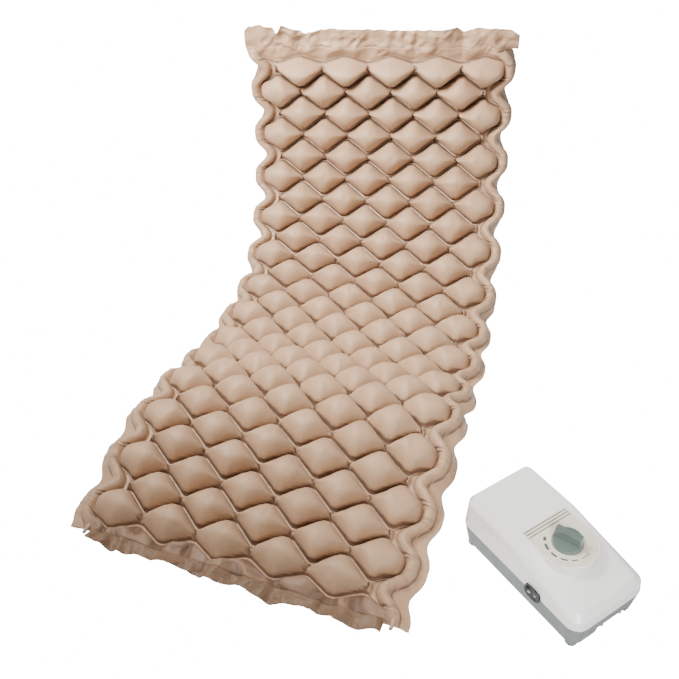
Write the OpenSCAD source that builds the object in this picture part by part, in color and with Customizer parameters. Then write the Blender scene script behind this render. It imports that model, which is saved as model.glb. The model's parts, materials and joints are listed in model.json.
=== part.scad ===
// Alternating-pressure relief mattress: a 130-cell bubble pad, draped in its
// raised-back resting curve, and the mains air pump that inflates it.
// Units are millimetres. Z is up, the floor is z = 0, the head end is +Y.

/* [Pad] */
// Distance between neighbouring weld knots along and across the pad
cell_pitch = 141; // [120:1:160]
// Height of one inflated cell above the base sheet
cell_height = 58; // [40:1:75]
// Thickness of the welded base sheet
sheet_thickness = 2.4; // [1.2:0.1:4]
// Height of the air channel along each long edge
channel_height = 16; // [10:1:24]
// Half width of the air channel
channel_half_width = 12; // [8:0.5:13]
// Width of the flat weld margin outside the outer cells
margin_width = 49; // [30:1:70]
// Depth of the head flap
head_flap_depth = 64; // [30:1:120]
// Depth of the foot flap
foot_flap_depth = 38; // [20:1:60]

/* [Pump case] */
// Width of the pump case at its seam, before pump_scale
pump_width = 160; // [130:1:190]
// Length of the pump case at its seam
pump_length = 288; // [240:1:330]
// Height of the seam between base shell and cover
seam_height = 58; // [45:1:70]
// Height of the flat rear deck
deck_height = 118; // [100:1:140]
// Wall thickness of both shells
wall = 2.6; // [2:0.1:4]
// Place of the pump on the floor, sideways
pump_x = 467.5; // [400:2.5:800]
// Place of the pump on the floor, towards the head
pump_y = -542.5; // [-700:2.5:0]
// Turn of the pump about the vertical
pump_turn = 48; // [0:1:360]
// Size of the pump against its drawn dimensions
pump_scale = 1.25; // [1:0.05:1.4]

/* [Controls] */
// Diameter of the pressure knob
knob_diameter = 54; // [40:1:60]
// Height of the pressure knob
knob_height = 24; // [16:1:30]
// Radius of the rounded dial platform
dial_radius = 52; // [44:1:56]
// Tilt of the rocker switch to each side
rocker_tilt = 8; // [4:1:10]

/* [Air fittings] */
// Outside diameter of the hose nozzles and pad connectors
nozzle_diameter = 9; // [7:0.5:12]
// Bore of the hose nozzles and pad connectors
nozzle_bore = 5.5; // [3:0.5:8]
// Length of the pad connectors
connector_length = 34; // [24:1:50]

/* [Hidden] */
$fn = 48;
a = cell_pitch / 2;
eps = 0.014;              // half of the slit at each bending line, in half pitches
clear = 0.8;              // air between the base sheet and the solids that stand on it
mw = margin_width / a;
// The resting curve: slope towards the head above level, yaw and roll in degrees,
// given at row positions counted in half pitches from the head end.
slope_at = [[0,95],[3,75],[6,50],[9,31],[11,14],[12.5,2],[14.5,-1],[16,-20],[18,-11],[20,6],[22,14],[25,5],[26,2],[27,0]];
yaw_at = [[0,9],[6,6],[12,-1],[18,-3],[22,-4],[25,-6]];
roll_at = [[0,0],[6,0],[12,0],[18,1],[22,-6],[25,0]];
start = [-190, 702.5, 893];
function th(v) = lookup(v, slope_at);
function ps(v) = lookup(v, yaw_at);
function ro(v) = lookup(v, roll_at);
function tan_v(v) = [sin(ps(v))*cos(th(v)), -cos(ps(v))*cos(th(v)), -sin(th(v))];
function ex_v(v) = [cos(ps(v)), sin(ps(v)), 0];
function side_v(v) = ex_v(v)*cos(ro(v)) + cross(tan_v(v), ex_v(v))*sin(ro(v));
function up_v(v) = cross(tan_v(v), side_v(v));
spine = [for (i = 0, p = start; i <= 132; p = p + tan_v(-4 + 0.25*i + 0.125)*0.25*a, i = i + 1) p];
function spine_at(v) = let (q = (v + 4)*4, i = floor(q), f = q - i) spine[i]*(1 - f) + spine[i + 1]*f;
function S(u, v, n = 0) = spine_at(v) + side_v(v)*((u - 4.5)*a) + up_v(v)*n;
// the same surface, straight between whole rows
function SL(u, v, n = 0) = let (i = floor(v), f = v - i) f < 0.001 ? S(u, i, n) : S(u, i, n)*(1 - f) + S(u, i + 1, n)*f;

// first and last cell row of each section, head to foot
sections = [[-1, 3], [4, 6], [7, 9], [10, 12], [13, 18], [19, 26]];
function odd(x) = abs(x) % 2 == 1;
function zz(k, u) = odd(u + k) ? k + 1 : k;
function zt(s, u) = s == 0 ? -1 : zz(sections[s][0] - 1, u);
function zb(s, u) = s == 5 ? 26 : zz(sections[s][1], u);

// ---- base sheet of one section ----
cols = [-1 - mw, -1, 0, 1, 2, 3, 4, 5, 6, 7, 8, 9, 10, 10 + mw];
function cu(c) = c == 0 ? -1 : c == 13 ? 10 : cols[c];
function wave(c, v) = c == 0 ? (odd(v) ? -0.08 : 0.08) : c == 13 ? (odd(v) ? -0.08 : 0.08) : 0;
function edge_v(s, c, v) = (s > 0 && v == zt(s, cu(c))) ? v + eps : (s < 5 && v == zb(s, cu(c))) ? v - eps : v;
module sheet(s) {
  r0 = sections[s][0]; r1 = sections[s][1];
  v0 = s == 0 ? -1 : r0 - 1; v1 = s == 5 ? 26 : r1 + 1;
  nv = v1 - v0 + 1; nt = nv*14;
  top = [for (v = [v0:v1]) for (c = [0:13]) S(cols[c] + wave(c, v), edge_v(s, c, v), 0)];
  bot = [for (v = [v0:v1]) for (c = [0:13]) S(cols[c] + wave(c, v), edge_v(s, c, v), -sheet_thickness)];
  tri = concat(
    [for (v = [v0:v1 - 1]) for (c = [1:11]) let (u = cols[c], i = (v - v0)*14 + c, e = !odd(u + v))
      each concat(
        v >= r0 && v <= r1 ? [e ? [i, i + 1, i + 15] : [i, i + 1, i + 14]] : [],
        v + 1 >= r0 && v + 1 <= r1 ? [e ? [i, i + 15, i + 14] : [i + 1, i + 15, i + 14]] : [])],
    [for (v = [v0:v1 - 1]) for (c = [0, 12]) let (i = (v - v0)*14 + c, u = c == 0 ? -1 : 10)
      if (v >= zt(s, u) && v + 1 <= zb(s, u)) each [[i, i + 1, i + 15], [i, i + 15, i + 14]]]);
  loop = concat(
    [for (c = [0:13]) (zt(s, cu(c)) - v0)*14 + c],
    [for (v = [zt(s, 10) + 1:1:zb(s, 10)]) (v - v0)*14 + 13],
    [for (c = [12:-1:0]) (zb(s, cu(c)) - v0)*14 + c],
    [for (v = [zb(s, -1) - 1:-1:zt(s, -1) + 1]) (v - v0)*14]);
  n = len(loop);
  polyhedron(points = concat(top, bot), faces = concat(
    tri, [for (t = tri) [t[2] + nt, t[1] + nt, t[0] + nt]],
    [for (i = [0:n - 1]) let (p = loop[i], q = loop[(i + 1) % n]) each [[p + nt, q + nt, q], [p + nt, q, p]]]));
}

// ---- inflated cells of one section and one air circuit ----
ring_dir = [[1, 0], [.5, .5], [0, 1], [-.5, .5], [-1, 0], [-.5, -.5], [0, -1], [.5, -.5]];
// corner reach, edge reach and height share of each ring
ring_form = [[.93, .93, 0], [.86, .92, .3], [.62, .74, .68], [.30, .42, .92]];
function cell_pt(u, v, du, dv, n) = S(u, v) + (S(u + sign(du), v) - S(u, v))*abs(du)
  + (S(u, v + sign(dv)) - S(u, v))*abs(dv) + up_v(v)*n;
function cell_pts(u, v) = concat(
  [for (r = ring_form) for (i = [0:7]) let (k = i % 2 == 0 ? r[0] : r[1]) cell_pt(u, v, ring_dir[i][0]*k, ring_dir[i][1]*k, clear + r[2]*(cell_height - clear))],
  [S(u, v, clear), S(u, v, cell_height)]);
function cell_faces(o) = concat(
  [for (i = [0:7]) [o + 32, o + (i + 1) % 8, o + i]],
  [for (k = [0:2]) for (i = [0:7]) let (l = o + 8*k, j = (i + 1) % 8) each [[l + i, l + j, l + 8 + j], [l + i, l + 8 + j, l + 8 + i]]],
  [for (i = [0:7]) [o + 33, o + 24 + i, o + 24 + (i + 1) % 8]]);
module cells(s, circuit) {
  list = [for (v = [max(0, sections[s][0]):min(25, sections[s][1])]) if (v % 2 == circuit) for (k = [0:4]) [2*k + 1 - circuit, v]];
  polyhedron(points = [for (c = list) each cell_pts(c[0], c[1])],
             faces = [for (i = [0:len(list) - 1]) each cell_faces(34*i)]);
}

// ---- air channel along one edge of one section ----
function chan_u(r, v) = r ? 9.85 + 0.4*cos(180*v) : -0.85 + 0.4*cos(180*v);
chan_form = [[-1, 0], [-.82, .5], [-.35, .95], [.35, .95], [.82, .5], [1, 0]];
module channel(s, r) {
  va = s == 0 ? -0.6 : zt(s, r ? 10 : -1) + 0.06; vb = s == 5 ? 25.7 : zb(s, r ? 10 : -1) - 0.06;
  at = concat([va], [for (k = [ceil(2*va + 0.1):floor(2*vb - 0.1)]) k/2], [vb]);
  n = len(at) - 1;
  pts = [for (v = at) for (p = chan_form)
    SL(chan_u(r, v) + p[0]*channel_half_width/a, v, p[1]*(channel_height - clear) + clear)];
  polyhedron(points = pts, faces = concat(
    [[0, 1, 2, 3, 4, 5]], [[for (i = [5:-1:0]) n*6 + i]],
    [for (i = [0:n - 1]) for (j = [0:5]) let (k = (j + 1) % 6, o = 6*i) each [[o + j, o + 6 + j, o + 6 + k], [o + j, o + 6 + k, o + k]]]));
}

// ---- loose end flaps ----
module flap(va, vb, ua, ub) {
  cu2 = [for (i = [0:12]) ua + i*(ub - ua)/12];
  n = 3;
  top = [for (j = [0:n]) for (u = cu2) S(u, va + (vb - va)*j/n, 0)];
  bot = [for (j = [0:n]) for (u = cu2) S(u, va + (vb - va)*j/n, -sheet_thickness)];
  m = 13*(n + 1);
  quad = [for (j = [0:n - 1]) for (i = [0:11]) let (o = j*13 + i) each [[o, o + 1, o + 14], [o, o + 14, o + 13]]];
  loop = concat([for (i = [0:12]) i], [for (j = [1:n]) j*13 + 12], [for (i = [11:-1:0]) n*13 + i], [for (j = [n - 1:-1:1]) j*13]);
  k = len(loop);
  polyhedron(points = concat(top, bot), faces = concat(
    quad, [for (t = quad) [t[2] + m, t[1] + m, t[0] + m]],
    [for (i = [0:k - 1]) let (p = loop[i], q = loop[(i + 1) % k]) each [[p + m, q + m, q], [p + m, q, p]]]));
}
module head_flap() { color("tan") flap(-1 - head_flap_depth/a, -1 - 2*eps, -1.3, 10.3); }
module foot_flap() { color("tan") flap(26 + 2*eps, 26 + foot_flap_depth/a, -0.3, 9.8); }

module base_sheet_head() { color("tan") sheet(0); }
module base_sheet_shoulder() { color("tan") sheet(1); }
module base_sheet_upper_back() { color("tan") sheet(2); }
module base_sheet_lumbar() { color("tan") sheet(3); }
module base_sheet_seat() { color("tan") sheet(4); }
module base_sheet_leg() { color("tan") sheet(5); }
module cells_a_head() { color("burlywood") cells(0, 0); }
module cells_b_head() { color("wheat") cells(0, 1); }
module cells_a_shoulder() { color("burlywood") cells(1, 0); }
module cells_b_shoulder() { color("wheat") cells(1, 1); }
module cells_a_upper_back() { color("burlywood") cells(2, 0); }
module cells_b_upper_back() { color("wheat") cells(2, 1); }
module cells_a_lumbar() { color("burlywood") cells(3, 0); }
module cells_b_lumbar() { color("wheat") cells(3, 1); }
module cells_a_seat() { color("burlywood") cells(4, 0); }
module cells_b_seat() { color("wheat") cells(4, 1); }
module cells_a_leg() { color("burlywood") cells(5, 0); }
module cells_b_leg() { color("wheat") cells(5, 1); }
module channel_a_head() { color("peru") channel(0, false); }
module channel_b_head() { color("peru") channel(0, true); }
module channel_a_shoulder() { color("peru") channel(1, false); }
module channel_b_shoulder() { color("peru") channel(1, true); }
module channel_a_upper_back() { color("peru") channel(2, false); }
module channel_b_upper_back() { color("peru") channel(2, true); }
module channel_a_lumbar() { color("peru") channel(3, false); }
module channel_b_lumbar() { color("peru") channel(3, true); }
module channel_a_seat() { color("peru") channel(4, false); }
module channel_b_seat() { color("peru") channel(4, true); }
module channel_a_leg() { color("peru") channel(5, false); }
module channel_b_leg() { color("peru") channel(5, true); }

// ---- hose connectors at the foot corners of the pad ----
module stem(l) {
  difference() {
    union() {
      cylinder(d = nozzle_diameter, h = l - 2);
      translate([0, 0, l - 2]) cylinder(d1 = nozzle_diameter, d2 = nozzle_diameter - 1.4, h = 2);
      cylinder(d = nozzle_diameter + 5, h = 2);
    }
    translate([0, 0, -1]) cylinder(d = nozzle_bore, h = l + 2);
  }
}
module connector(u) {
  translate(S(u, 25.72, 7.5)) rotate([0, 0, -6]) rotate([90, 0, 0]) stem(connector_length);
}
module pad_connector_a() { color("ivory") connector(chan_u(false, 25.72)); }
module pad_connector_b() { color("ivory") connector(chan_u(true, 25.72)); }

// ======================= pump =======================
module placed() { translate([pump_x, pump_y, 0]) rotate([0, 0, pump_turn]) scale(pump_scale) children(); }
hw = pump_width/2; hl = pump_length/2;
knob_y = -33;
switch_y = -45; switch_q = hw + 3;
nozzle_x = [-9, 33]; nozzle_z = 22;
nd = nozzle_diameter/pump_scale; nb = nozzle_bore/pump_scale;
screw_x = hw - 17; screw_y = hl - 46;
foot_x = hw - 20; foot_y = hl - 22;
module rr(w, l, r) {
  square([w - 2*r, l], center = true);
  square([w, l - 2*r], center = true);
  for (x = [-1, 1], y = [-1, 1]) translate([x*(w/2 - r), y*(l/2 - r)]) circle(r = r);
}
module slab(z, w, ya, yb, r, h = 0.5) translate([0, (ya + yb)/2, z]) linear_extrude(h) rr(w, yb - ya, r);
module base_hull(o) hull($fn = 32) {
  slab(12 + o, pump_width - 14 - 2*o, -hl + 7 + o, hl - 7 - o, 20 - o/2);
  slab(seam_height - 0.5, pump_width - 2*o, -hl + o, hl - o, 24 - o/2);
}
module cover_hull(o) hull($fn = 32) {
  slab(seam_height, pump_width - 2*o, -hl + o, hl - o, 24 - o/2);
  slab(deck_height - 12 - o, pump_width - 12 - 2*o, 6 + o, hl - 3 - o, 18 - o/2);
  slab(deck_height - 0.5 - o, pump_width - 28 - 2*o, 12 + o/2, hl - 10 - o, 12 - o/2);
  slab(seam_height + 18 - o, pump_width - 4 - 2*o, -hl + 2 + o, -hl + 50, 22 - o/2);
  slab(seam_height + 27 - o, pump_width - 24 - 2*o, -hl + 14 + o, -hl + 60, 16 - o/2);
}
module dial_form(o) { translate([0, knob_y]) circle(r = dial_radius - o); translate([-dial_radius + o, knob_y]) square([2*(dial_radius - o), 58 - o]); }
module switch_cut() translate([-hw - 4, switch_y - 15.5, seam_height - 10]) cube([16, 31, 20]);
module recess(o) translate([-22 - o, -hl - 6, 0]) cube([68 + 2*o, 28 + o, 27 + o]);

module pump_base_shell() { color("slategray") placed() difference() {
  union() {
    difference() { base_hull(0); base_hull(wall); }
    intersection() { base_hull(0.5); recess(wall); }
    for (x = [-1, 1], y = [-1, 1]) {
      translate([x*foot_x, y*foot_y, 5]) cylinder(d = 22, h = 10);
      translate([x*screw_x, y*screw_y, 12.5]) cylinder(d = 11, h = seam_height - 13);
    }
  }
  recess(0);
  for (x = [-1, 1], y = [-1, 1]) {
    translate([x*foot_x, y*foot_y, 4]) cylinder(d = 8.2, h = 9);
    translate([x*screw_x, y*screw_y, 11]) cylinder(d = 7.4, h = seam_height - 23);
    translate([x*screw_x, y*screw_y, 11]) cylinder(d = 3.4, h = seam_height);
  }
  for (x = nozzle_x) translate([x, -hl + 30, nozzle_z]) rotate([90, 0, 0]) cylinder(d = nd + 1.4, h = 20);
  translate([-43.2, hl - 14, 28.8]) cube([26.4, 20, 18.4]);
  switch_cut();
} }
module pump_top_cover() { color("white") placed() difference() {
  union() {
    difference() {
      union() { cover_hull(0); translate([0, 0, seam_height + 6]) linear_extrude(deck_height - seam_height - 6) dial_form(0); }
      translate([0, 0, -0.2]) cover_hull(wall);
      translate([0, 0, seam_height - 1]) linear_extrude(deck_height - seam_height + 1 - wall) dial_form(wall);
    }
    intersection() {
      cover_hull(1);
      for (x = [-1, 1], y = [-1, 1]) translate([x*screw_x, y*screw_y, seam_height + 0.2]) cylinder(d = 9, h = 60);
    }
  }
  for (x = [-1, 1], y = [-1, 1]) translate([x*screw_x, y*screw_y, seam_height - 1]) cylinder(d = 3.1, h = 14.5);
  translate([0, knob_y, deck_height - 6]) cylinder(d = 9, h = 10);
  switch_cut();
} }
module dial_plate() { color("lemonchiffon") placed() difference() {
  translate([0, 0, deck_height]) linear_extrude(1.2) dial_form(2.5);
  translate([0, knob_y, deck_height - 1]) cylinder(d = 9, h = 4);
} }
module pressure_knob() { color("darkseagreen") placed() translate([0, knob_y, deck_height + 1.8]) difference() {
  union() {
    cylinder(d1 = knob_diameter, d2 = knob_diameter - 3, h = 7);
    intersection() {
      cylinder(d1 = knob_diameter - 2, d2 = knob_diameter - 8, h = knob_height);
      translate([0, 0, knob_height/2]) rotate([0, 0, 20]) cube([13, knob_diameter, knob_height], center = true);
    }
  }
  translate([0, 0, -1]) cylinder(d = 6.2, h = 13);
} }
module regulator_stem() { color("silver") placed() translate([0, knob_y, 0]) {
  translate([0, 0, 99]) cylinder(d = 6, h = deck_height + 13 - 99);
  translate([0, 0, 96]) cylinder(d1 = 3, d2 = 12, h = 5);
} }
module regulator_body() { color("gainsboro") placed() translate([0, knob_y, 0]) difference() {
  union() {
    translate([0, 0, 88]) cylinder(d = 24, h = deck_height - wall - 88);
    translate([0, 0, 80]) cylinder(d = 7, h = 9);
  }
  translate([0, 0, 93]) cylinder(d = 15, h = 12);
  translate([0, 0, 79]) cylinder(d = 3.5, h = 15);
  translate([0, 0, 104]) cylinder(d = 6.6, h = 20);
} }
module switch_bezel() { color("black") placed() translate([-switch_q, switch_y, seam_height]) rotate([0, 90, 0]) difference() {
  union() {
    linear_extrude(3) { translate([0, -4.5]) circle(r = 13.5); translate([0, 4.5]) circle(r = 13.5); square([27, 9], center = true); }
    linear_extrude(13) square([19.4, 30.4], center = true);
  }
  translate([0, 0, -1]) linear_extrude(12.5) rr(18.6, 26, 4);
} }
module switch_rocker() { color("dimgray") placed() translate([-switch_q + 8, switch_y, seam_height]) rotate([0, 0, rocker_tilt]) rotate([90, 0, 90]) {
  intersection() {
    translate([0, 0, -10]) linear_extrude(11) rr(22.8, 17.2, 3);
    translate([0, 12, 0]) rotate([90, 0, 0]) linear_extrude(24) polygon([[-12, -9], [0, -7.4], [12, -9], [12, -2], [4, 1], [-4, 1], [-12, -2]]);
  }
} }
module rubber_feet() { color("black") placed() for (x = [-1, 1], y = [-1, 1]) translate([x*foot_x, y*foot_y, 0]) {
  cylinder(d1 = 19, d2 = 21.5, h = 2.5);
  translate([0, 0, 2.5]) cylinder(d = 21.5, h = 2.5);
  translate([0, 0, 4.9]) cylinder(d = 8, h = 7);
} }
module nozzle(x) placed() translate([x, -hl + 32, nozzle_z]) rotate([90, 0, 0]) difference() {
  union() {
    translate([0, 0, -6]) cylinder(d = 6, h = 10);
    translate([0, 0, 3]) cylinder(d = nd + 4, h = 4);
    translate([0, 0, 6]) cylinder(d = nd, h = 19);
    translate([0, 0, 25]) cylinder(d1 = nd, d2 = nd - 1.1, h = 2);
  }
  translate([0, 0, -7]) cylinder(d = nb, h = 36);
}
module air_nozzle_a() { color("whitesmoke") nozzle(nozzle_x[0]); }
module air_nozzle_b() { color("whitesmoke") nozzle(nozzle_x[1]); }
module mains_inlet() { color("black") placed() translate([-30, hl, 38]) {
  difference() {
    union() {
      translate([-16, -0.9, -12]) cube([32, 1.9, 24]);
      translate([-13, -20, -9]) cube([26, 19, 18]);
    }
    translate([-10, -16, -6.5]) cube([20, 20, 13]);
  }
  for (x = [-4.3, 4.3]) translate([x, -2, 0]) rotate([90, 0, 0]) cylinder(d = 2.4, h = 14.5);
} }
module case_screws() { color("silver") placed() for (x = [-1, 1], y = [-1, 1]) translate([x*screw_x, y*screw_y, seam_height - 14.6]) difference() {
  union() { cylinder(d = 6.8, h = 2.5); cylinder(d = 3, h = 28); }
  translate([0, 0, -0.5]) cylinder(d = 2.5, h = 1.8, $fn = 6);
} }
// -- linear electromagnetic compressor --
module compressor_cradle() { color("gainsboro") placed() difference() {
  union() {
    translate([-56, 42, 12 + wall]) cube([106, 46, 3.4]);
    translate([-54, 44, 12 + wall]) cube([42, 6.5, 11.2]);
    translate([-54, 79.5, 12 + wall]) cube([42, 6.5, 11.2]);
    for (y = [45, 81]) translate([-9, y, 12 + wall]) cube([8, 4, 11.4]);
    translate([22, 52, 12 + wall]) cube([14, 26, 35.2]);
  }
  translate([-5, 90, 22]) rotate([90, 0, 0]) cylinder(d = 3.2, h = 50);
} }
module compressor_core() { color("gray") placed() translate([0, 0, 26]) linear_extrude(26) difference() {
  translate([-52, 45]) square([40, 40]);
  translate([-44, 51]) square([33, 8]);
  translate([-44, 71]) square([33, 8]);
} }
module compressor_coil() { color("orangered") placed() difference() {
  translate([-42, 51.4, 19.4]) cube([26, 27.2, 39.2]);
  translate([-43, 58.6, 25.6]) cube([28, 12.8, 26.8]);
} }
module compressor_armature() { color("lightgray") placed() {
  difference() {
    union() {
      translate([-7, 50, 24]) cube([4, 30, 60]);
      translate([-5, 80, 22]) rotate([90, 0, 0]) cylinder(d = 7, h = 30);
      translate([-10, 55, 31]) cube([3.2, 20, 17]);
    }
    translate([-5, 90, 22]) rotate([90, 0, 0]) cylinder(d = 3.2, h = 50);
  }
} }
module armature_pin() { color("silver") placed() translate([-5, 86, 22]) rotate([90, 0, 0]) cylinder(d = 2.8, h = 42); }
module compressor_diaphragm() { color("dimgray") placed() translate([-1, 65, 70]) rotate([0, 90, 0]) rotate_extrude() polygon([[0, 0], [8, 0], [9, 4], [13, 5], [15, 9], [17, 12], [17, 15], [14, 15], [13, 11], [11, 8], [0, 6]]); }
module valve_box() { color("gainsboro") placed() difference() {
  union() {
    translate([14, 46, 50]) cube([30, 38, 40]);
    translate([29, 47, 70]) rotate([90, 0, 0]) cylinder(d = 7, h = 13);
  }
  translate([17, 49, 53]) cube([24, 32, 34]);
  translate([13, 65, 70]) rotate([0, 90, 0]) cylinder(d = 20, h = 5);
  translate([29, 50, 70]) rotate([90, 0, 0]) cylinder(d = 4, h = 20);
} }
// -- rotary distributor that swaps the two circuits --
dist_c = [-30, -62];
module distributor_motor() { color("silver") placed() translate([dist_c[0], dist_c[1], 12 + wall]) difference() {
  union() { cylinder(d = 48, h = 16); cylinder(d = 12, h = 19); }
  translate([0, 0, 10]) cylinder(d = 4.6, h = 12);
} }
module distributor_body() { color("gainsboro") placed() translate([dist_c[0], dist_c[1], 34]) difference() {
  union() {
    cylinder(d = 46, h = 20);
    translate([0, 0, 19]) cylinder(d = 7, h = 11);
    translate([12, 8, 12]) rotate([0, 90, 0]) cylinder(d = 7, h = 22);
    translate([12, -8, 12]) rotate([0, 90, 0]) cylinder(d = 7, h = 22);
  }
  translate([0, 0, 3]) cylinder(d = 38, h = 13);
  translate([0, 0, -1]) cylinder(d = 13, h = 6);
  translate([0, 0, 10]) cylinder(d = 4, h = 22);
  for (y = [-8, 8]) translate([10, y, 12]) rotate([0, 90, 0]) cylinder(d = 4, h = 26);
} }
module distributor_rotor() { color("khaki") placed() translate([dist_c[0], dist_c[1], 0]) difference() {
  union() { translate([0, 0, 39]) cylinder(d = 36, h = 8); translate([0, 0, 26]) cylinder(d = 4, h = 14); }
  translate([10, 0, 43]) cylinder(d = 10, h = 6);
} }
// -- inner air tubes: straight runs with round elbows --
module run(p, q, d) { w = q - p; l = norm(w); translate(p) rotate([0, acos(w[2]/l), atan2(w[1], w[0])]) cylinder(d = d, h = l); }
module tube(pts) placed() difference() {
  union() { for (i = [0:len(pts) - 2]) run(pts[i], pts[i + 1], 9.4); for (i = [1:1:len(pts) - 2]) translate(pts[i]) sphere(d = 9.4); }
  union() {
    for (i = [0:len(pts) - 2]) run(pts[i], pts[i + 1], 7.2);
    for (i = [1:1:len(pts) - 2]) translate(pts[i]) sphere(d = 7.2);
    e = len(pts) - 1;
    run(pts[0] + (pts[0] - pts[1])/norm(pts[0] - pts[1]), pts[0], 7.2);
    run(pts[e], pts[e] + (pts[e] - pts[e - 1])/norm(pts[e] - pts[e - 1]), 7.2);
  }
}
supply_path = [[29, 45, 70], [29, -62, 70], [-30, -62, 70], [-30, -62, 56]];
tube_a_path = [[-6, -70, 46], [12, -70, 46], [12, -90, 46], [12, -90, nozzle_z], [-9, -90, nozzle_z], [-9, -111, nozzle_z]];
tube_b_path = [[-6, -54, 46], [33, -54, 46], [33, -96, 46], [33, -96, nozzle_z], [33, -111, nozzle_z]];
module supply_tube() { color("lightyellow") tube(supply_path); }
module tube_to_nozzle_a() { color("lightyellow") tube(tube_a_path); }
module tube_to_nozzle_b() { color("lightyellow") tube(tube_b_path); }

base_sheet_head();
base_sheet_shoulder();
base_sheet_upper_back();
base_sheet_lumbar();
base_sheet_seat();
base_sheet_leg();
cells_a_head();
cells_b_head();
cells_a_shoulder();
cells_b_shoulder();
cells_a_upper_back();
cells_b_upper_back();
cells_a_lumbar();
cells_b_lumbar();
cells_a_seat();
cells_b_seat();
cells_a_leg();
cells_b_leg();
channel_a_head();
channel_b_head();
channel_a_shoulder();
channel_b_shoulder();
channel_a_upper_back();
channel_b_upper_back();
channel_a_lumbar();
channel_b_lumbar();
channel_a_seat();
channel_b_seat();
channel_a_leg();
channel_b_leg();
head_flap();
foot_flap();
pad_connector_a();
pad_connector_b();
pump_base_shell();
pump_top_cover();
dial_plate();
pressure_knob();
regulator_stem();
regulator_body();
switch_bezel();
switch_rocker();
rubber_feet();
air_nozzle_a();
air_nozzle_b();
mains_inlet();
case_screws();
compressor_cradle();
compressor_core();
compressor_coil();
compressor_armature();
armature_pin();
compressor_diaphragm();
valve_box();
distributor_motor();
distributor_body();
distributor_rotor();
supply_tube();
tube_to_nozzle_a();
tube_to_nozzle_b();
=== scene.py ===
import bpy, bmesh, json, math
import numpy as np
from mathutils import Matrix, Vector


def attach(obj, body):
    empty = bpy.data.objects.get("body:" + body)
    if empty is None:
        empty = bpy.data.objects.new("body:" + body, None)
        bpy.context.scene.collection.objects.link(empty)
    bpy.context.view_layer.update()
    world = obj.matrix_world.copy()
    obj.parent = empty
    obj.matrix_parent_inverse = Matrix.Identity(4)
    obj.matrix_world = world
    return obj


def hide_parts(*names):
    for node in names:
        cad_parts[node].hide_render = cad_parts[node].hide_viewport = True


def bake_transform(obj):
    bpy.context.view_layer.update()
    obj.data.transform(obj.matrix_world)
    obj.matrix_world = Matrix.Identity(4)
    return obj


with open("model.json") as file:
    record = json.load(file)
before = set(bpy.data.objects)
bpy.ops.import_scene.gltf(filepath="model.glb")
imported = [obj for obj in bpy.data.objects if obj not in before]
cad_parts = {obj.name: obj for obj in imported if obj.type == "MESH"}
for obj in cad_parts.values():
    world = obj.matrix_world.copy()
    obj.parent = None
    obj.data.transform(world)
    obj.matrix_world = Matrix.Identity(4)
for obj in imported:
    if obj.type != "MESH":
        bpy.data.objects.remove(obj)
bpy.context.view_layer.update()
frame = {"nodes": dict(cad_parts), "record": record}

NODES = frame["nodes"]

# ------------------------------------------------------------------ draped surface
A = 70.5
SLOPE = [[0,95],[3,75],[6,50],[9,31],[11,14],[12.5,2],[14.5,-1],[16,-20],[18,-11],[20,6],[22,14],[25,5],[26,2],[27,0]]
YAW = [[0,9],[6,6],[12,-1],[18,-3],[22,-4],[25,-6]]
ROLL = [[0,0],[6,0],[12,0],[18,1],[22,-6],[25,0]]
START = np.array([-190.0, 702.5, 893.0])

def lut(v, t):
    t = np.array(t, float)
    return np.radians(np.interp(v, t[:, 0], t[:, 1]))

def tanv(v):
    T, Y = lut(v, SLOPE), lut(v, YAW)
    return np.stack([np.sin(Y)*np.cos(T), -np.cos(Y)*np.cos(T), -np.sin(T)], -1)

def sidev(v):
    Y, R = lut(v, YAW), lut(v, ROLL)
    ex = np.stack([np.cos(Y), np.sin(Y), 0*Y], -1)
    return ex*np.cos(R)[..., None] + np.cross(tanv(v), ex)*np.sin(R)[..., None]

def upv(v):
    return np.cross(tanv(v), sidev(v))

_i = np.arange(0, 133)
_sp = np.vstack([START, START + np.cumsum(tanv(-4 + 0.25*_i + 0.125)*0.25*A, 0)])

def spine(v):
    return np.stack([np.interp(v, -4 + 0.25*np.arange(len(_sp)), _sp[:, k]) for k in range(3)], -1)

_vt = np.arange(-4, 29, 0.02)
def _smooth(a, w):
    k = np.ones(w)/w
    p = np.concatenate([np.repeat(a[:1], w, 0), a, np.repeat(a[-1:], w, 0)])
    return np.stack([np.convolve(p[:, j], k, "same") for j in range(3)], -1)[w:-w]
_sps, _sds, _ups = _smooth(spine(_vt), 21), _smooth(sidev(_vt), 41), _smooth(upv(_vt), 61)

def S(u, v, n):
    """Point in metres at half-pitch coordinates u, v and height n in mm over the base sheet."""
    g = lambda t: np.stack([np.interp(v, _vt, t[:, j]) for j in range(3)], -1)
    up = g(_ups); up /= np.linalg.norm(up, axis=-1, keepdims=True)
    return (g(_sps) + g(_sds)*((u - 4.5)*A)[..., None] + up*np.asarray(n)[..., None])/1000.0

def S1(u, v, n=0.0):
    return tuple(float(q) for q in S(np.array([float(u)]), np.array([float(v)]), np.array([float(n)]))[0])

def sst(x):
    x = np.clip(x, 0, 1)
    return x*x*(3 - 2*x)

# ------------------------------------------------------------------ helpers
def mesh_obj(name, verts, faces, smooth=True, uv=None, attrs=None, rim=0):
    me = bpy.data.meshes.new(name)
    me.from_pydata([tuple(map(float, p)) for p in verts], [], [tuple(map(int, f)) for f in faces])
    if smooth:
        me.polygons.foreach_set("use_smooth", [True]*(len(me.polygons) - rim) + [False]*rim)
    if attrs:
        for k, a in attrs.items():
            at = me.attributes.new(k, "FLOAT", "POINT")
            at.data.foreach_set("value", np.asarray(a, np.float32))
    me.update()
    o = bpy.data.objects.new(name, me)
    bpy.context.collection.objects.link(o)
    return o

def put(o, mat):
    o.data.materials.clear()
    o.data.materials.append(mat)

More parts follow.
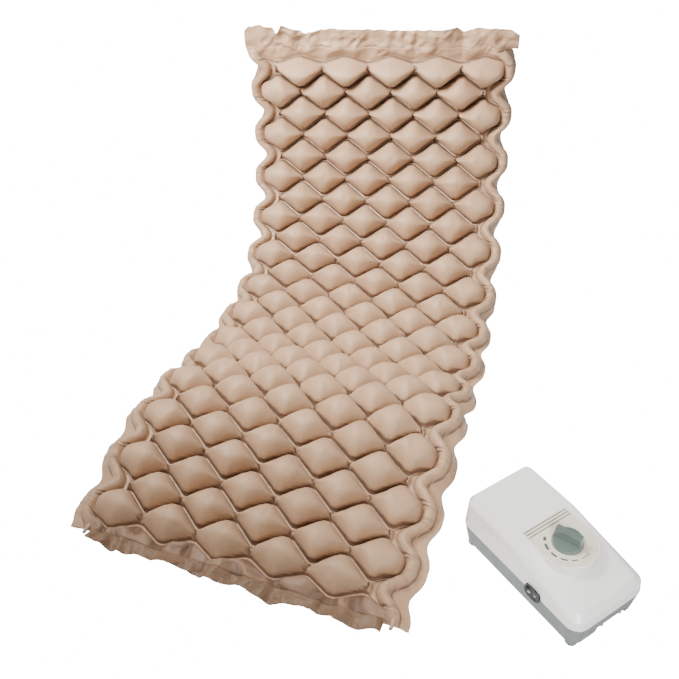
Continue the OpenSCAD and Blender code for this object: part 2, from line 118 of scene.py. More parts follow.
# ------------------------------------------------------------------ materials
def srgb(r, g, b):
    f = lambda c: ((c/255 + 0.055)/1.055)**2.4 if c/255 > 0.04045 else c/255/12.92
    return (f(r), f(g), f(b), 1.0)

class Mat:
    def __init__(self, name, **sock):
        self.m = bpy.data.materials.new(name)
        self.m.use_nodes = True
        self.t = self.m.node_tree
        self.b = self.t.nodes["Principled BSDF"]
        for k, v in sock.items():
            self.b.inputs[k.replace("_", " ")].default_value = v
    def n(self, kind, **kw):
        x = self.t.nodes.new(kind)
        for k, v in kw.items():
            if hasattr(x, k):
                setattr(x, k, v)
            else:
                x.inputs[k].default_value = v
        return x
    def l(self, a, b):
        self.t.links.new(a, b)
    def coord(self, scale=(1, 1, 1), kind="Object"):
        c = self.n("ShaderNodeTexCoord")
        mp = self.n("ShaderNodeMapping")
        mp.inputs["Scale"].default_value = scale
        self.l(c.outputs[kind], mp.inputs["Vector"])
        return mp.outputs["Vector"]
    def noise(self, vec, scale, detail=3.0, rough=0.55):
        x = self.n("ShaderNodeTexNoise")
        x.inputs["Scale"].default_value = scale
        x.inputs["Detail"].default_value = detail
        x.inputs["Roughness"].default_value = rough
        self.l(vec, x.inputs["Vector"])
        return x
    def ramp(self, fac, stops):
        r = self.n("ShaderNodeValToRGB")
        e = r.color_ramp.elements
        while len(e) < len(stops):
            e.new(0.5)
        for q, (p, c) in zip(e, stops):
            q.position = p
            q.color = c
        self.l(fac, r.inputs["Fac"])
        return r.outputs["Color"]
    def rmap(self, fac, a, b, lo=0.3, hi=0.7):
        r = self.n("ShaderNodeMapRange")
        r.inputs["From Min"].default_value = lo
        r.inputs["From Max"].default_value = hi
        r.inputs["To Min"].default_value = a
        r.inputs["To Max"].default_value = b
        self.l(fac, r.inputs["Value"])
        return r.outputs["Result"]
    def mix(self, fac, a, b, mode="MIX"):
        x = self.n("ShaderNodeMix")
        x.data_type = "RGBA"
        x.blend_type = mode
        for s, val in ((x.inputs[0], fac), (x.inputs[6], a), (x.inputs[7], b)):
            if hasattr(val, "is_output"):
                self.l(val, s)
            else:
                s.default_value = val
        return x.outputs[2]
    def bump(self, h, dist, strength=1.0, prev=None):
        x = self.n("ShaderNodeBump")
        x.inputs["Strength"].default_value = strength
        x.inputs["Distance"].default_value = dist
        self.l(h, x.inputs["Height"])
        if prev is not None:
            self.l(prev, x.inputs["Normal"])
        return x.outputs["Normal"]

def pvc(name, tone=1.0, weld_attr=True, tint=None, crease=0.0):
    m = Mat(name, Roughness=0.5, IOR=1.46)
    m.b.inputs["Sheen Weight"].default_value = 0.06
    m.b.inputs["Subsurface Weight"].default_value = 0.0
    v = m.coord()
    big = m.noise(v, 4.5, 2.0)
    mid = m.noise(v, 19.0, 3.0)
    c = m.ramp(big.outputs["Fac"], [(0.30, srgb(185*tone, 149*tone, 118*tone)), (0.5, srgb(187*tone, 151*tone, 119*tone)),
                                    (0.72, srgb(186*tone, 153*tone, 121*tone))])
    c2 = m.ramp(mid.outputs["Fac"], [(0.28, (0.90, 0.88, 0.86, 1)), (0.6, (1, 1, 1, 1)), (0.8, (1.0, 0.985, 0.96, 1))])
    c = m.mix(1.0, c, c2, "MULTIPLY")
    # browner tint mixed in by noise; only the darker foot film copy uses it, as part of its painted shade
    if tint:
        c = m.mix(m.rmap(mid.outputs["Fac"], 0.35, 0.75), c, srgb(*tint))
    if weld_attr:
        # welds mixed toward a paler beige: partly the pressed film's own paler tone, partly a painted highlight of
        # light falling on the flat strip
        a = m.n("ShaderNodeAttribute")
        a.attribute_name = "weld"
        c = m.mix(m.rmap(a.outputs["Fac"], 0.0, 0.5, 0.0, 1.0), c, srgb(216, 184, 152))
        # painted shade: dark brown mixed in along creases, knots, fold valleys and channel flanks
        g = m.n("ShaderNodeAttribute")
        g.attribute_name = "crease_shade"
        c = m.mix(m.rmap(g.outputs["Fac"], 0.0, 0.80, 0.0, 0.68), c, srgb(74, 47, 32))
    m.l(c, m.b.inputs["Base Color"])
    fine = m.noise(v, 1400.0, 2.0)
    cr = m.noise(v, 120.0, 4.0, 0.62)
    m.l(m.rmap(cr.outputs["Fac"], 0.44, 0.58), m.b.inputs["Roughness"])
    b1 = m.bump(fine.outputs["Fac"], 0.00012, 0.5)
    b2 = m.bump(cr.outputs["Fac"], 0.0009, 0.6, b1)
    b3 = m.bump(m.noise(v, 34.0, 3.0).outputs["Fac"], 0.003, 0.5, b2)
    if crease:
        wv = m.n("ShaderNodeVectorMath", operation="ADD")
        m.l(v, wv.inputs[0])
        m.l(m.mix(0.12, (0, 0, 0, 1), m.noise(v, 9.0, 2.0).outputs["Color"]), wv.inputs[1])
        vo = m.n("ShaderNodeTexVoronoi", feature="DISTANCE_TO_EDGE")
        vo.inputs["Scale"].default_value = 19.0
        m.l(wv.outputs[0], vo.inputs["Vector"])
        b3 = m.bump(vo.outputs["Distance"], crease, 0.8, b3)
    m.l(b3, m.b.inputs["Normal"])
    return m.m

def plastic(name, rgb, rough=0.35, var=0.05, grain=900.0, dist=0.00004, coat=0.0, ior=1.49, spread=0.08, **kw):
    m = Mat(name, IOR=ior)
    for k, val in kw.items():
        m.b.inputs[k.replace("_", " ")].default_value = val
    m.b.inputs["Coat Weight"].default_value = coat
    m.b.inputs["Coat Roughness"].default_value = 0.12
    v = m.coord()
    n1 = m.noise(v, 14.0, 3.0)
    lo = srgb(*[q*(1 - var) for q in rgb]); hi = srgb(*[min(255, q*(1 + var*0.6)) for q in rgb])
    c = m.ramp(n1.outputs["Fac"], [(0.3, lo), (0.7, hi)])
    m.l(c, m.b.inputs["Base Color"])
    n2 = m.noise(v, 60.0, 4.0)
    m.l(m.rmap(n2.outputs["Fac"], max(0.02, rough - spread), rough + spread), m.b.inputs["Roughness"])
    n3 = m.noise(v, grain, 2.0)
    m.l(m.bump(n3.outputs["Fac"], dist, 0.6), m.b.inputs["Normal"])
    return m.m

def metal(name, rgb, rough=0.3, aniso=True):
    m = Mat(name, Metallic=1.0)
    v = m.coord((1, 1, 14) if aniso else (1, 1, 1))
    n1 = m.noise(v, 180.0, 3.0)
    c = m.ramp(n1.outputs["Fac"], [(0.3, srgb(*[q*0.86 for q in rgb])), (0.7, srgb(*rgb))])
    m.l(c, m.b.inputs["Base Color"])
    m.l(m.rmap(n1.outputs["Fac"], rough - 0.08, rough + 0.1), m.b.inputs["Roughness"])
    m.l(m.bump(n1.outputs["Fac"], 0.00005, 0.5), m.b.inputs["Normal"])
    return m.m

M = {
    "pad_cell": pvc("pvc_film"),
    "pad_sheet": pvc("pvc_base_film", 1.0, False, crease=0.004),
    # a darker, browner copy of the same PVC film: painted shade for the crumpled foot flap
    "foot_film": pvc("pvc_foot_film_shaded", 0.74, False, (124, 92, 68), crease=0.012),
    "connector_plastic": plastic("connector_plastic", (192, 160, 132), 0.42),
    "base_plastic": plastic("base_plastic", (112, 122, 119), 0.42, 0.05, 1500, 0.00010),
    "cover_plastic": plastic("cover_plastic", (250, 249, 247), 0.2, 0.008, 700, 0.00002, coat=0.5, spread=0.05),
    "dial_film": plastic("dial_film", (226, 223, 200), 0.38, 0.02, 1800, 0.00003),
    "knob_plastic": plastic("knob_plastic", (112, 128, 122), 0.16, 0.05, 500, 0.00003, coat=0.6, Transmission_Weight=0.3),
    "black_plastic": plastic("black_plastic", (11, 11, 12), 0.36, 0.15, 1400, 0.00006),
    "rubber": plastic("rubber", (30, 29, 29), 0.72, 0.2, 1100, 0.00012),
    "nozzle_plastic": plastic("nozzle_plastic", (232, 231, 224), 0.3),
    "steel": metal("zinc_steel", (190, 192, 196)),
    "core_steel": metal("lamination_steel", (110, 112, 118), 0.5),
    "coil_winding": metal("enamelled_copper", (190, 104, 58), 0.35),
    "armature_aluminium": metal("armature_aluminium", (200, 203, 208), 0.34),
    "tube_silicone": plastic("tube_silicone", (222, 220, 204), 0.4, Transmission_Weight=0.15),
    "board": plastic("circuit_board", (38, 92, 52), 0.4, 0.15, 400, 0.00008),
    "inner_plastic": plastic("inner_plastic", (214, 213, 208), 0.45),
    "print_grey": plastic("print_grey", (82, 92, 88), 0.5, 0.04),
    "print_white": plastic("print_white", (224, 224, 222), 0.5, 0.02),
}

# ------------------------------------------------------------------ pad quilt
rng = np.random.RandomState(11)
NECK = 0.20
H = 55.0

def tri(u, k):
    """-1 where u+k is even, +1 where odd, straight between with rounded turns."""
    x = (u + k) % 2.0
    t = 1 - 2*np.abs(x - 1)          # -1 at even, +1 at odd
    t = t*1.12
    b = 0.24                                           # straight welds with short round caps
    q = np.clip((np.abs(t) - (1 - b))/b, 0, 1)
    return np.sign(t)*np.where(np.abs(t) < 1 - b, np.abs(t), (1 - b) + b*(q - 0.5*q*q))/(1 - 0.5*b)

def fade(c):
    e = np.minimum(c, 9 - c)
    return sst((e + 1.25)/0.55)

def Z(k, c):
    if k <= -2:
        return np.full_like(c, -1.0)
    if k >= 26:
        return np.full_like(c, 26.0)
    soft = {-1: 0.45, 25: 0.7}.get(k, 1.0)          # the end rows run out into the loose film
    return k + 0.5 + soft*(0.5 - NECK)*tri(c, k)*fade(c)

edge = [-1.70, -1.64, -1.56, -1.47, -1.38, -1.30, -1.23, -1.17, -1.125, -1.09, -1.05, -0.99, -0.93, -0.87, -0.81, -0.75, -0.69, -0.65,
        -0.61, -0.56, -0.50, -0.43, -0.36, -0.29, -0.22, -0.155, -0.10, -0.06, -0.03]
unit = [0, 0.03, 0.07, 0.12, 0.19, 0.28, 0.39, 0.5, 0.61, 0.72, 0.81, 0.88, 0.93, 0.97]
COLS = np.array(edge + [i + q for i in range(9) for q in unit] + [9.0] + [9 - q for q in edge[::-1]])
TL = np.array([0, 0.011, 0.026, 0.04, 0.062, 0.095, 0.14, 0.2, 0.27, 0.345, 0.42, 0.5])
TL = np.concatenate([TL, 1 - TL[:-1][::-1]])
TB = np.linspace(0, 1, 9)

cell_rand = rng.rand(30, 14)
knot_rand = rng.rand(32, 16)

def hash_noise(x, y, seed):
    """Smooth value noise, deterministic."""
    g = np.random.RandomState(seed).rand(64, 64)
    xi, yi = np.floor(x).astype(int), np.floor(y).astype(int)
    fx, fy = x - xi, y - yi
    fx, fy = fx*fx*(3 - 2*fx), fy*fy*(3 - 2*fy)
    q = lambda a, b: g[a % 64, b % 64]
    return (q(xi, yi)*(1 - fx) + q(xi + 1, yi)*fx)*(1 - fy) + (q(xi, yi + 1)*(1 - fx) + q(xi + 1, yi + 1)*fx)*fy - 0.5

def flatz_(e):
    return (e + 1.0)/0.4

def crumple(u, v):
    """Heights in mm of the creased film past the last cell row."""
    a = hash_noise(u*0.9 + v*0.5 + 30, v*1.1 - u*0.3 + 11, 31)
    b = hash_noise(u*2.0 + 7 + a*1.6, v*1.6 + 3 + a*2, 32)
    c = hash_noise(u*5 + b*3, v*3 + a*3, 33)
    g = (u + 1.0) % 2.0 - 1.0
    w = np.exp(-((g + 0.25*np.sin(u*1.7))/0.17)**2)
    return 7 + 22*np.abs(a) + 17*(0.5 - np.abs(b*1.9)) + 5.0*(0.4 - np.abs(c)) - 9*w*(1 - 0.4*np.clip(v - 25.6, 0, 1))

def head_film(u, v):
    """Soft gathers in mm of the film over the first cell row."""
    g = (u + 1.0) % 2.0 - 1.0                          # 0 over the necks of the first row
    n = 9.0*np.exp(-((np.abs(g) - 0.62 + 0.35*(v + 1))/0.26)**2) - 5.0*np.exp(-(g/0.14)**2)
    n = n + 11.0*hash_noise(u*1.2 + 9, v*1.3 + 9, 21) + 10.0*(0.5 - np.abs(hash_noise(u*2.6 + v*2.3 + 4, v*1.8 - u*0.8 + 2, 22))*2.2) + 3.0*hash_noise(u*8 + v*5 + 3, v*4 + 9, 23)
    return n + 2.0

# ------------------------------------------------------------------ swelling of the film under air, by cloth simulation
def swell():
    """Blows up a flat sample of 4 rows by 4 cells, held along its welds, and returns how far the film of each cell rose."""
    q = 16
    cs = np.linspace(0, 9, 9*q + 1)
    rows = [4, 5, 6, 7]
    tt = np.linspace(0, 1, q + 1)
    V, U, HT, pin = [], [], [], []
    for j, k in enumerate(rows):
        z0, z1 = Z(k - 1, cs), Z(k, cs)
        for i_, t in enumerate(tt[0 if j == 0 else 1:]):
            par = k % 2
            cx = np.abs((cs + par) % 2 - 1)
            yy = abs(2*t - 1)
            V.append(z0*(1 - t) + z1*t); U.append(cs)
            HT.append(0.93*H*(0.22 + 0.78*(1 - cx**1.8))*(1 - yy**2.1)**0.56)
            pin.append(np.full(len(cs), 1.0 if yy > 0.999 else 0.0))
    V, U, HT, pin = map(np.array, (V, U, HT, pin))
    n_r, n_c = V.shape
    rnd = np.random.RandomState(5)
    rough = 1.2*np.stack([hash_noise(U*5 + 3, V*5 + 3, 61), hash_noise(U*5 + 9, V*5 + 1, 62), hash_noise(U*6 + 2, V*6 + 5, 63)], -1)*(1 - pin)[..., None]
    P0 = np.stack([U*A, -V*A, HT], -1)
    P = (P0 + rough)/1000.0
    i = np.arange((n_r - 1)*n_c).reshape(n_r - 1, n_c)[:, :-1].reshape(-1)
    o = mesh_obj("film_sample", P.reshape(-1, 3), np.stack([i, i + n_c, i + n_c + 1, i + 1], 1))
    pin[:, 0] = 1; pin[:, -1] = 1
    vg = o.vertex_groups.new(name="weld_line")
    vg.add([int(a) for a in np.nonzero(pin.ravel() > 0.5)[0]], 1.0, "REPLACE")
    md = o.modifiers.new("air", "CLOTH")
    st = md.settings
    st.quality = 6
    st.mass = 0.3
    st.tension_stiffness = st.compression_stiffness = 18
    st.shear_stiffness = 8
    st.bending_stiffness = 0.05
    st.tension_damping = st.compression_damping = st.shear_damping = 12
    st.air_damping = 3
    st.use_pressure = True
    st.uniform_pressure_force = 4.0
    st.shrink_min = -0.09
    st.vertex_group_mass = "weld_line"
    st.effector_weights.gravity = 0.0
    md.collision_settings.use_collision = False
    md.collision_settings.use_self_collision = False
    sc = bpy.context.scene
    for f_ in range(1, 19):
        sc.frame_set(f_)
    me = o.evaluated_get(bpy.context.evaluated_depsgraph_get()).to_mesh()
    Q = np.empty(len(me.vertices)*3)
    me.vertices.foreach_get("co", Q)
    Q = Q.reshape(n_r, n_c, 3)*1000.0
    sc.frame_set(1)
    bpy.data.objects.remove(o, do_unlink=True)
    D = np.clip(Q[..., 2] - P0[..., 2], -9, 9)
    if not np.isfinite(D).all():
        return None
    out = []
    for j, k in enumerate(rows):
        par = k % 2
        for cc in range(1, 9):
            if (cc + par) % 2 == 1 and 1 <= cc <= 8:
                blk = D[j*q:(j + 1)*q + 1, (cc - 1)*q:(cc + 1)*q + 1]
                out.append(blk - 0.6*blk.mean())
    return np.array(out)

def film(pick, cx, t):
    n, a, b = FILM.shape
    y, x = np.clip(t, 0, 1)*(a - 1), (np.clip(cx, -1, 1) + 1)/2*(b - 1)
    yi, xi = np.minimum(y.astype(int), a - 2), np.minimum(x.astype(int), b - 2)
    fy, fx = y - yi, x - xi
    g = lambda r, c: FILM[pick, r, c]
    return (g(yi, xi)*(1 - fx) + g(yi, xi + 1)*fx)*(1 - fy) + (g(yi + 1, xi)*(1 - fx) + g(yi + 1, xi + 1)*fx)*fy

FILM = swell()
if FILM is not None:
    print("FILM", FILM.shape, float(FILM.min()), float(FILM.max()), float(FILM.std()))

def band(k):
    """Grid of one row band: returns u, v, top height, under height, the paler weld tone with its painted highlight, and
    the painted shade of creases and folds.
    """
    T = TL if 0 <= k <= 25 else TB
    c = np.tile(COLS, (len(T), 1))
    t = np.tile(T[:, None], (1, len(COLS)))
    z0, z1 = Z(k - 1, c), Z(k, c)
    v = z0*(1 - t) + z1*t
    left = c < 4.5
    e = np.where(left, c, 9 - c)                       # distance coordinate from the edge, same on both sides
    ph = np.where(left, np.cos(np.pi*v), -np.cos(np.pi*v))
    ph = 2*((1 + ph)/2)**1.7 - 1
    B = np.where(e > -0.62, sst((0.02 - e)/0.64), np.where(e < -1.12, 0.5 + 0.5*sst((e + 1.75)/0.63), 1.0))
    off = 0.17*sst((-1.12 - e)/0.58)
    de = off + (0.09 + 0.27*ph)*B
    ue = e + de
    u = np.where(left, ue, 9 - ue)
    # cell rows
    W = (z1 - z0)/2
    y = np.abs(2*t - 1)
    h = np.zeros_like(c); weld = np.zeros_like(c); crease_shade = np.zeros_like(c); under = np.zeros_like(c)
    if 0 <= k <= 25:
        st = 0.042/np.maximum(W, 0.12)                 # weld strip half width as a share of the band
        yy = np.clip(y/(1 - st), 0, 1)
        f = (1 - yy**2.1)**0.56
        wt = sst((np.abs((c + (k % 2) - 1) % 2 - 1) < 9)*(np.abs((((c + (k % 2)) % 2) - 1)) - 0.22)/0.62)
        f = f*(1 - wt) + wt*(1 - yy**1.45)**0.8
        if k == 0:
            f = np.where(t < 0.5, (1 - yy**1.5)**1.1, f)
        if k == 25:
            f = np.where(t > 0.5, (1 - yy**1.7)**0.9, f)
        par = k % 2                                    # 0: cells at odd u, 1: cells at even u
        ci = np.clip(np.round((c + par - 1)/2).astype(int), -1, 5)
        r1, r2, r3 = cell_rand[k][ci + 2], cell_rand[k][ci + 7], cell_rand[(k + 7) % 30][ci + 3]
        cx = c - (2*ci + 1 - par)                      # -1..1 across the cell
        amp = 0.28 + 0.72*(1 - np.clip(np.abs(cx), 0, 1)**2.1)**0.9
        out_ = np.where(left, (par == 1)*(e < 0), (par == 0)*(e < 0))
        amp = np.where(out_, np.maximum(amp, 1 - 0.45*np.clip(-e, 0, 1)**2), amp)
        lean = 0.06*(r3 - 0.5)*cx + 0.05*(r2 - 0.5)*(2*t - 1)
        Hk = H*(0.95 + 0.08*(r1 - 0.5) + lean)
        # closing of the outer cells and of the open half cells
        in_l = e
        own = np.where(left, par == 1, par == 0)       # the row whose outer cell reaches past the edge line
        closed = np.where(own, np.clip(1 - (np.clip(-in_l, 0, 1)/0.62)**5, 0, 1)**0.55, sst((in_l + 0.30)/0.28))
        closed = np.where(in_l > 0.3, 1, closed)
        h = Hk*amp*f*closed
        if FILM is not None:
            pick = ((r1*7919 + k*3 + ci) % len(FILM)).astype(int)
            h = h + film(pick, np.clip(cx, -1, 1), t)*closed*(1 - np.clip(np.abs(cx), 0, 1)**8)*sst(e/0.4)
        under = 6.5*amp*(1 - yy**2)*closed
        # weld bead, the paler weld strip (its own paler tone plus a painted highlight) and painted shade lines in the
        # creases beside it
        bead = np.exp(-((1 - y)*W/0.020)**2)
        flatz = sst((e + 1.0)/0.4)
        h = h + 1.3*bead*flatz
        weld = np.exp(-((1 - y)*W/0.024)**2)*flatz
        crease_shade = np.exp(-(((1 - y)*W - 0.060)/0.028)**2)*flatz
        # puckers at the two necks of this row
        kn = np.round((c - (k % 2))/2)*2 + (k % 2)
        dx = (c - kn); dy = (v - k)
        r = np.sqrt(dx*dx + (dy*1.0)**2)
        ph0 = knot_rand[k][(np.clip(kn, -1, 10) + 1).astype(int)]*6.28
        ang = np.arctan2(dy, dx)
        ring = np.exp(-(r/0.17)**2)
        h = h + ring*(3.4*np.cos(3*ang + ph0) + 2.6*np.cos(6*ang + 2*ph0))*sst(r/0.05)*sst((e + 0.5)/0.4)
        h = h - 9.0*np.exp(-((dx - 0.05*np.sin(ph0 + dy*18))/0.032)**2)*np.exp(-(dy/0.2)**2)*sst((e + 0.5)/0.4)
        kz = sst((e + 0.6)/0.4)
        wob = 0.05*np.sin(ph0 + dy*18)
        # painted shade in the pinched creases and pucker valleys at the knots
        crease_shade = np.maximum(crease_shade, 0.95*np.exp(-((dx - wob)/0.034)**2)*np.exp(-(dy/0.14)**4)*kz)
        crease_shade = np.maximum(crease_shade, 0.95*np.exp(-((dx - 0.06*np.cos(ph0*2))/0.075)**2)*np.exp(-((np.abs(dy) - 0.155)/0.05)**2)*kz)
        crease_shade = np.maximum(crease_shade, 0.55*np.exp(-(r/0.15)**2)*np.clip(np.cos(6*ang + ph0*1.7), 0, 1)**3*kz)
        # stretch folds that run from the necks into the cell
        fold = np.cos(ang*10 + ph0*3)*np.exp(-((r - 0.27)/0.14)**2)
        h = h + 1.1*fold*(yy < 0.99)*closed
    if k == 26:
        sg = t
        cr_ = crumple(u, v)
        h = h + sst(flatz_(e))*cr_*sst(t/0.3)
        # painted shade over the whole crumpled foot film, darker still in its low folds
        crease_shade = np.maximum(crease_shade, sst(flatz_(e))*(0.42 + 0.45*sst((16 - cr_)/10)))
    if k == -1:
        h = h + sst(flatz_(e))*head_film(u, v)*(1 - t**2)
    # air channel
    hwc = 0.25
    cc = np.where(left, np.cos(np.pi*v), -np.cos(np.pi*v))
    slope = 0.27*1.7*((1 + cc)/2)**0.7*np.pi*np.sin(np.pi*v)
    hwc = 0.225*np.sqrt(1 + 0.55*slope**2)
    d = (e + 0.87)/hwc
    ch = np.sqrt(np.clip(1 - d*d, 0, 1))
    chn = 23.0*ch*sst((v + 1.0)/0.5)*sst((26.1 - v)/0.5)
    h = np.maximum(h, chn) + 0.15*np.minimum(h, chn)
    # painted shade along the creases at the channel's flanks
    crease_shade = np.maximum(crease_shade, 0.75*np.exp(-((np.abs(d) - 1.06)/0.10)**2)*sst((v + 0.9)/0.4))
    # radial puckers round the outer cells: on the channel flanks and across the flange
    ko = np.where(left, np.round((v - 1)/2)*2 + 1, np.round(v/2)*2)
    rr_ = np.sqrt((np.where(left, u, 9 - u))**2 + (v - ko)**2) + 1e-6
    ra = np.arctan2(v - ko, -np.where(left, u, 9 - u))
    zone = sst((-0.62 - e)/0.12)
    outer = sst((-1.06 - e)/0.10)
    pk = np.cos(ra*31 + 2.2*np.sin(ra*7 + ko)) * (0.55 + hash_noise(ra*6 + ko*3.1, rr_*2, 3))
    h = h + zone*(1 - outer)*2.1*pk + outer*(2.4*np.cos(ra*17 + ko*1.3 + 1.5*np.sin(ra*5))*(0.6 + hash_noise(ra*4 + ko*2.7, rr_*3, 5)) + 0.9*pk)
    # painted shade in the pucker valleys on the channel flanks
    crease_shade = np.maximum(crease_shade, zone*(1 - outer)*0.30*np.clip(-pk, 0, 1))
    # flange droop: in half pitches of reach lost and mm of drop
    reach = np.clip(-1.10 - e, 0, 1)
    phi = np.radians(np.interp(v, [-1, 2, 8, 11, 14, 17, 20, 23, 26], [62, 74, 74, 60, 42, 44, 30, 20, 12]))
    lost = reach*(1 - np.cos(phi))
    drop = reach*A*np.sin(phi)
    u = np.where(left, u + lost, u - lost)
    sag = -drop
    # broad unevenness of the soft pad
    h = h + 1.2*hash_noise(u*1.3 + 40, v*1.3 + 40, 9)*(h > 4)
    return u, v, h + sag, under, weld, crease_shade, sag, e

def flat_rows(ks):
    out = None
    for i, k in enumerate(ks):
        g = band(k)
        s = slice(0 if i == 0 else 1, None)
        g = [q[s] for q in g]
        out = g if out is None else [np.concatenate([p, q]) for p, q in zip(out, g)]
    return out

FLOOR = 0.0006
def quilt(name, ks, va, vb, droop=None):
    u, v, h, under, weld, crease_shade, sag, e = flat_rows(ks)
    R, C = u.shape
    top = S(u, v, h)
    nb = sag - 2.4 - under
    bot = S(u, v, nb)
    # nothing dips into the floor the pad rests on
    top[..., 2] = np.maximum(top[..., 2], FLOOR + 0.0024 + 0.0*h)
    bot[..., 2] = np.maximum(bot[..., 2], FLOOR)
    bot[..., 2] = np.minimum(bot[..., 2], np.where(np.abs(top[..., 2] - bot[..., 2]) < 0.0009, top[..., 2] - 0.0009, bot[..., 2]))
    P = np.concatenate([top.reshape(-1, 3), bot.reshape(-1, 3)])
    N = R*C
    i = np.arange((R - 1)*C).reshape(R - 1, C)[:, :-1].reshape(-1)
    ft = np.stack([i, i + C, i + C + 1, i + 1], 1)
    fb = np.stack([i + N, i + 1 + N, i + C + 1 + N, i + C + N], 1)
    loop = list(range(C)) + [r*C + C - 1 for r in range(1, R)] + list(range(N - 2, N - C - 1, -1)) + [r*C for r in range(R - 2, 0, -1)]
    L = np.array(loop); L2 = np.roll(L, -1)
    fs = np.stack([L, L2, L2 + N, L + N], 1)
    F = np.concatenate([ft, fb, fs])
    # paler weld tone with its painted highlight and the painted crease shade, both weaker on the underside
    o = mesh_obj(name, P, F, attrs={"weld": np.concatenate([weld.ravel(), 0.35*weld.ravel()]),
                                    "crease_shade": np.concatenate([crease_shade.ravel(), 0.25*crease_shade.ravel()])}, rim=len(fs))
    put(o, M["pad_cell"])
    S1(4.5, va)
    S1(4.5, vb)
    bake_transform(o)
    return o

SEC = ["head", "shoulder", "upper_back", "lumbar", "seat", "leg"]
quilt("quilt_head_end", range(-1, 2), -1.12, -0.9)
quilt("quilt_head", range(2, 5), 2.8, 4.15)
quilt("quilt_shoulder", range(5, 8), 5.75, 7.2)
quilt("quilt_back", range(8, 11), 8.75, 10.2)
quilt("quilt_lumbar", range(11, 16), 11.6, 13.4)
quilt("quilt_seat", range(16, 23), 17.6, 19.4)
quilt("quilt_foot_end", range(23, 27), 25.95, 26.2)
def three(s):
    return ["base_sheet_" + s, "cells_a_" + s, "cells_b_" + s, "channel_a_" + s, "channel_b_" + s]
for key, s in (("p1", "head"), ("p2", "head"), ("p2", "shoulder"), ("p3", "shoulder"), ("p3", "upper_back"), ("p4", "upper_back"),
               ("p4", "lumbar"), ("p5", "lumbar"), ("p5", "seat"), ("p6", "seat"), ("p6", "leg"), ("p7", "leg")):
    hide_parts(*three(s))

# ------------------------------------------------------------------ end flaps
def flap(name, body, cols, vin, outline, wave, thick=1.6, nrow=22):
    """Thin loose sheet from the line v = vin out to the outline, with its folds as heights."""
    C = len(cols)
    s = np.linspace(0, 1, nrow)
    u = np.tile(cols, (nrow, 1))
    sg = np.tile(s[:, None], (1, C))
    vo = outline(u)
    v = vin*(1 - sg) + vo*sg
    uu, n = wave(u, v, sg)
    top = S(uu, v, n)
    bot = S(uu, v, n - thick)
    lift = np.maximum(0, FLOOR + 0.0002 - bot[..., 2])
    top[..., 2] += lift; bot[..., 2] += lift
    N = nrow*C
    P = np.concatenate([top.reshape(-1, 3), bot.reshape(-1, 3)])
    i = np.arange((nrow - 1)*C).reshape(nrow - 1, C)[:, :-1].reshape(-1)
    ft = np.stack([i, i + C, i + C + 1, i + 1], 1)
    fb = np.stack([i + N, i + 1 + N, i + C + 1 + N, i + C + N], 1)
    if vo.mean() < vin:
        ft, fb = ft[:, ::-1], fb[:, ::-1]
    loop = list(range(C)) + [r*C + C - 1 for r in range(1, nrow)] + list(range(N - 2, N - C - 1, -1)) + [r*C for r in range(nrow - 2, 0, -1)]
    L = np.array(loop); L2 = np.roll(L, -1)
    fs = np.stack([L, L2, L2 + N, L + N], 1)
    if vo.mean() < vin:
        fs = fs[:, ::-1]
    o = mesh_obj(name, P, np.concatenate([ft, fb, fs]), rim=len(fs))
    area = float(sum(p.area for p in list(o.data.polygons)[:len(ft)]))
    put(o, M["pad_sheet"])
    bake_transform(o)
    return o, area

def head_outline(u):
    x = np.array([-1.35, -1.1, -0.6, 0.0, 0.12, 0.35, 1.0, 1.35, 1.7, 2.6, 4.0, 5.6, 7.0, 7.7, 8.0, 8.5, 9.4, 10.0, 10.35])
    y = np.array([0.62, 0.86, 0.92, 0.86, 0.62, 1.02, 0.72, 0.56, 0.66, 0.80, 0.78, 0.66, 0.80, 0.86, 0.60, 0.82, 0.80, 0.74, 0.5])
    return -1 - np.interp(u, x, y)

def head_wave(u, v, s):
    n = 5.0*s*np.sin(u*1.9 + 0.8) + 9.0*s*np.exp(-((u - 0.4)/0.5)**2) - 10.0*s*np.exp(-((u - 1.35 + 0.3*s)/0.22)**2)
    n += -9.0*s*np.exp(-((u - 7.95)/0.2)**2) + 6*s*np.exp(-((u - 7.3)/0.4)**2)
    n += 2.2*s*np.sin(u*9 + 2*s*np.sin(u*3)) + 3.0*np.sin(s*6.0 + u*0.6)*s*(1 - s)
    n += 3.2*s*np.sin(u*13)*np.exp(-((u - 5.3)/0.8)**2)
    n += 4.0*s*np.sin((u + 1.4)*11 + s*3)*np.exp(-((u + 0.9)/0.55)**2)
    n += 14*s*(1 - s)*hash_noise(u*1.9 + 3, v*4 + 3, 41)*2 + 5*s*hash_noise(u*4.5, v*7, 42)
    e = np.minimum(u, 9 - u)
    n = n*sst((-0.93 - v)/0.25) + head_film(u, v)*sst((e + 1.0)/0.4)*(1 - 0.5*s) - 2.6*sst((v + 1.0)/0.06)
    n += 6.0*s*np.exp(-((s - 0.75)/0.2)**2)*np.abs(hash_noise(u*2.2 + 5, v*1.2, 43))*2
    return u, n

HC = np.linspace(-1.32, 10.32, 190)
FC = np.linspace(-0.34, 9.84, 170)
hf, area_h = flap("head_flap_sheet", ("head_flap", "head_section", S1(4.5, -1.12), S1(4.5, -0.9)), HC, -0.9, head_outline, head_wave, nrow=30)
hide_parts("head_flap")

def foot_outline(u):
    x = np.array([-1.35, -0.9, -0.1, 0.6, 1.6, 2.4, 3.3, 4.4, 5.3, 6.4, 7.4, 8.4, 9.4, 10.35])
    y = np.array([0.36, 0.50, 0.46, 0.52, 0.40, 0.53, 0.42, 0.52, 0.44, 0.53, 0.42, 0.50, 0.46, 0.3])
    return 26 + np.interp(u, x, y)

